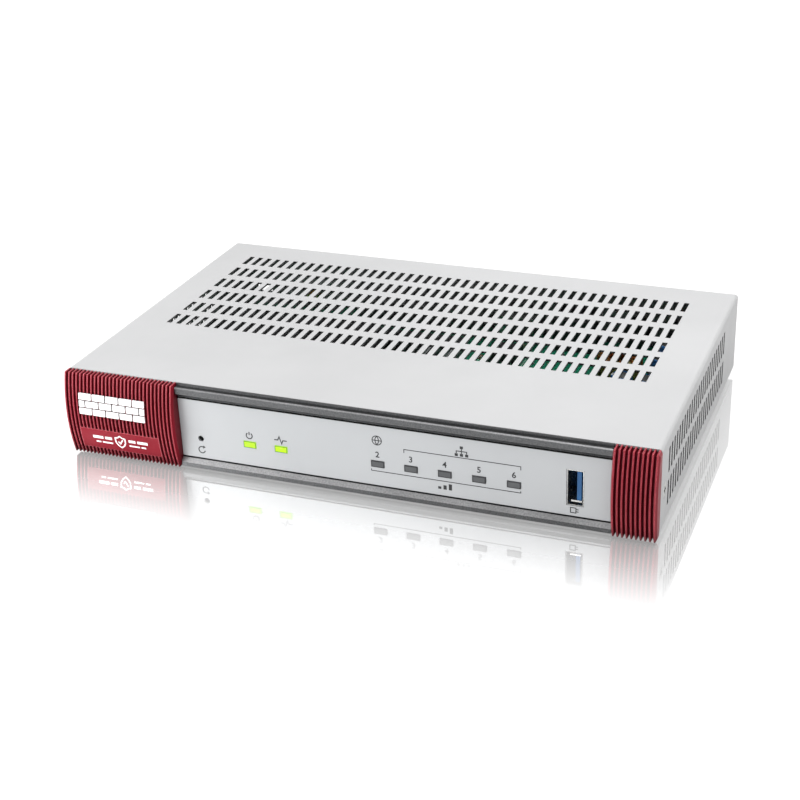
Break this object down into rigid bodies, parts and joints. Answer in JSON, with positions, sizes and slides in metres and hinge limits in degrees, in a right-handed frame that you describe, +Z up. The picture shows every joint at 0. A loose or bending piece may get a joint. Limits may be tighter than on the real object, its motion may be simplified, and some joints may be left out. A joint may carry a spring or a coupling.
{
  "type": "firewall appliance",
  "caption": "Desktop network firewall box: slotted grey steel cover, silver front panel with indicators and USB port, ribbed dark red end caps.",
  "frame": {"origin": "centre of the footprint, on the surface that the feet stand on", "axes": "+X to the right as seen from the front, -Y towards the front panel's viewer, +Z up"},
  "size_m": [0.216, 0.143, 0.033],
  "materials": {
    "cover_paint": "fine satin powder coat",
    "tray_steel": "fine satin powder coat",
    "foot_rubber": "matte",
    "zinc_screw": "satin zinc plate",
    "ground_brass": "satin",
    "frame_graphite": "satin graphite",
    "panel_silver": "satin silver paint",
    "cap_red": "semi-gloss moulded, dark red",
    "emblem_white": "semi-gloss white",
    "lens_lit": "lit light pipe",
    "lens_dark": "smoked light pipe",
    "black_plastic": "matte moulded",
    "white_plastic": "matte moulded",
    "plated_steel": "bright nickel plate",
    "usb_blue": "moulded",
    "gold_contact": "gold plate",
    "board_green": "solder mask",
    "film_clear": "translucent film",
    "led_chip": "small moulded package",
    "chip_black": "moulded package",
    "pad_grey": "soft silicone",
    "sink_black": "black anodised",
    "sink_silver": "extruded",
    "pin_brass": "satin",
    "passive_tan": "chip ceramic",
    "capacitor_sleeve": "shrink sleeve",
    "ferrite_grey": "sintered ferrite",
    "core_olive": "epoxy coated ring core",
    "copper_wire": "enamelled copper",
    "cell_steel": "bright"
  },
  "bodies": {
    "case": {"top_cover": "cover_paint", "bottom_chassis": "tray_steel", "rubber_feet": "foot_rubber", "side_screws": "zinc_screw", "rear_screws": "zinc_screw", "ground_screw": "ground_brass", "front_frame": "frame_graphite", "front_panel": "panel_silver", "left_end_cap": "cap_red", "right_end_cap": "cap_red", "cap_emblem": "emblem_white", "power_led_lens": "lens_lit", "system_led_lens": "lens_lit", "port_led_lenses": "lens_dark", "light_pipe_carriers": "black_plastic", "status_leds": "led_chip", "port_leds": "led_chip", "reset_switch": "black_plastic", "usb_shell": "plated_steel", "usb_insulator": "usb_blue", "usb_contacts": "gold_contact", "main_board": "board_green", "insulator_sheet": "film_clear", "board_standoffs": "plated_steel", "board_screws": "zinc_screw", "processor": "chip_black", "thermal_pad": "pad_grey", "heat_sink": "sink_black", "heat_sink_pins": "pin_brass", "switch_chip": "chip_black", "switch_heat_sink": "sink_silver", "memory_chips": "chip_black", "flash_chip": "chip_black", "chip_passives": "passive_tan", "line_transformers": "chip_black", "filter_capacitors": "capacitor_sleeve", "power_inductors": "ferrite_grey", "choke_core": "core_olive", "choke_winding": "copper_wire", "crystal": "cell_steel", "coin_cell": "cell_steel", "coin_cell_holder": "black_plastic", "wan_jack_shield": "plated_steel", "wan_jack_insert": "black_plastic", "wan_jack_contacts": "gold_contact", "lan_jack_shield": "plated_steel", "lan_jack_insert": "black_plastic", "lan_jack_contacts": "gold_contact", "console_jack_body": "black_plastic", "console_jack_contacts": "gold_contact", "dc_jack": "black_plastic", "dc_jack_pin": "plated_steel", "power_switch_body": "black_plastic", "power_switch_terminals": "plated_steel"},
    "reset_button": {"reset_plunger": "white_plastic"},
    "rocker": {"power_rocker": "black_plastic"}
  },
  "joints": [
    {"name": "reset_press", "type": "slide", "parent": "case", "child": "reset_button", "axis": [0, 1, 0], "range_m": [0, 0.0005], "stiffness_N_per_m": 3000},
    {"name": "rocker_tilt", "type": "hinge", "parent": "case", "child": "rocker", "pos_m": [0.089, 0.0663, 0.015], "axis": [0, 0, 1], "range_deg": [-24, 0]}
  ]
}
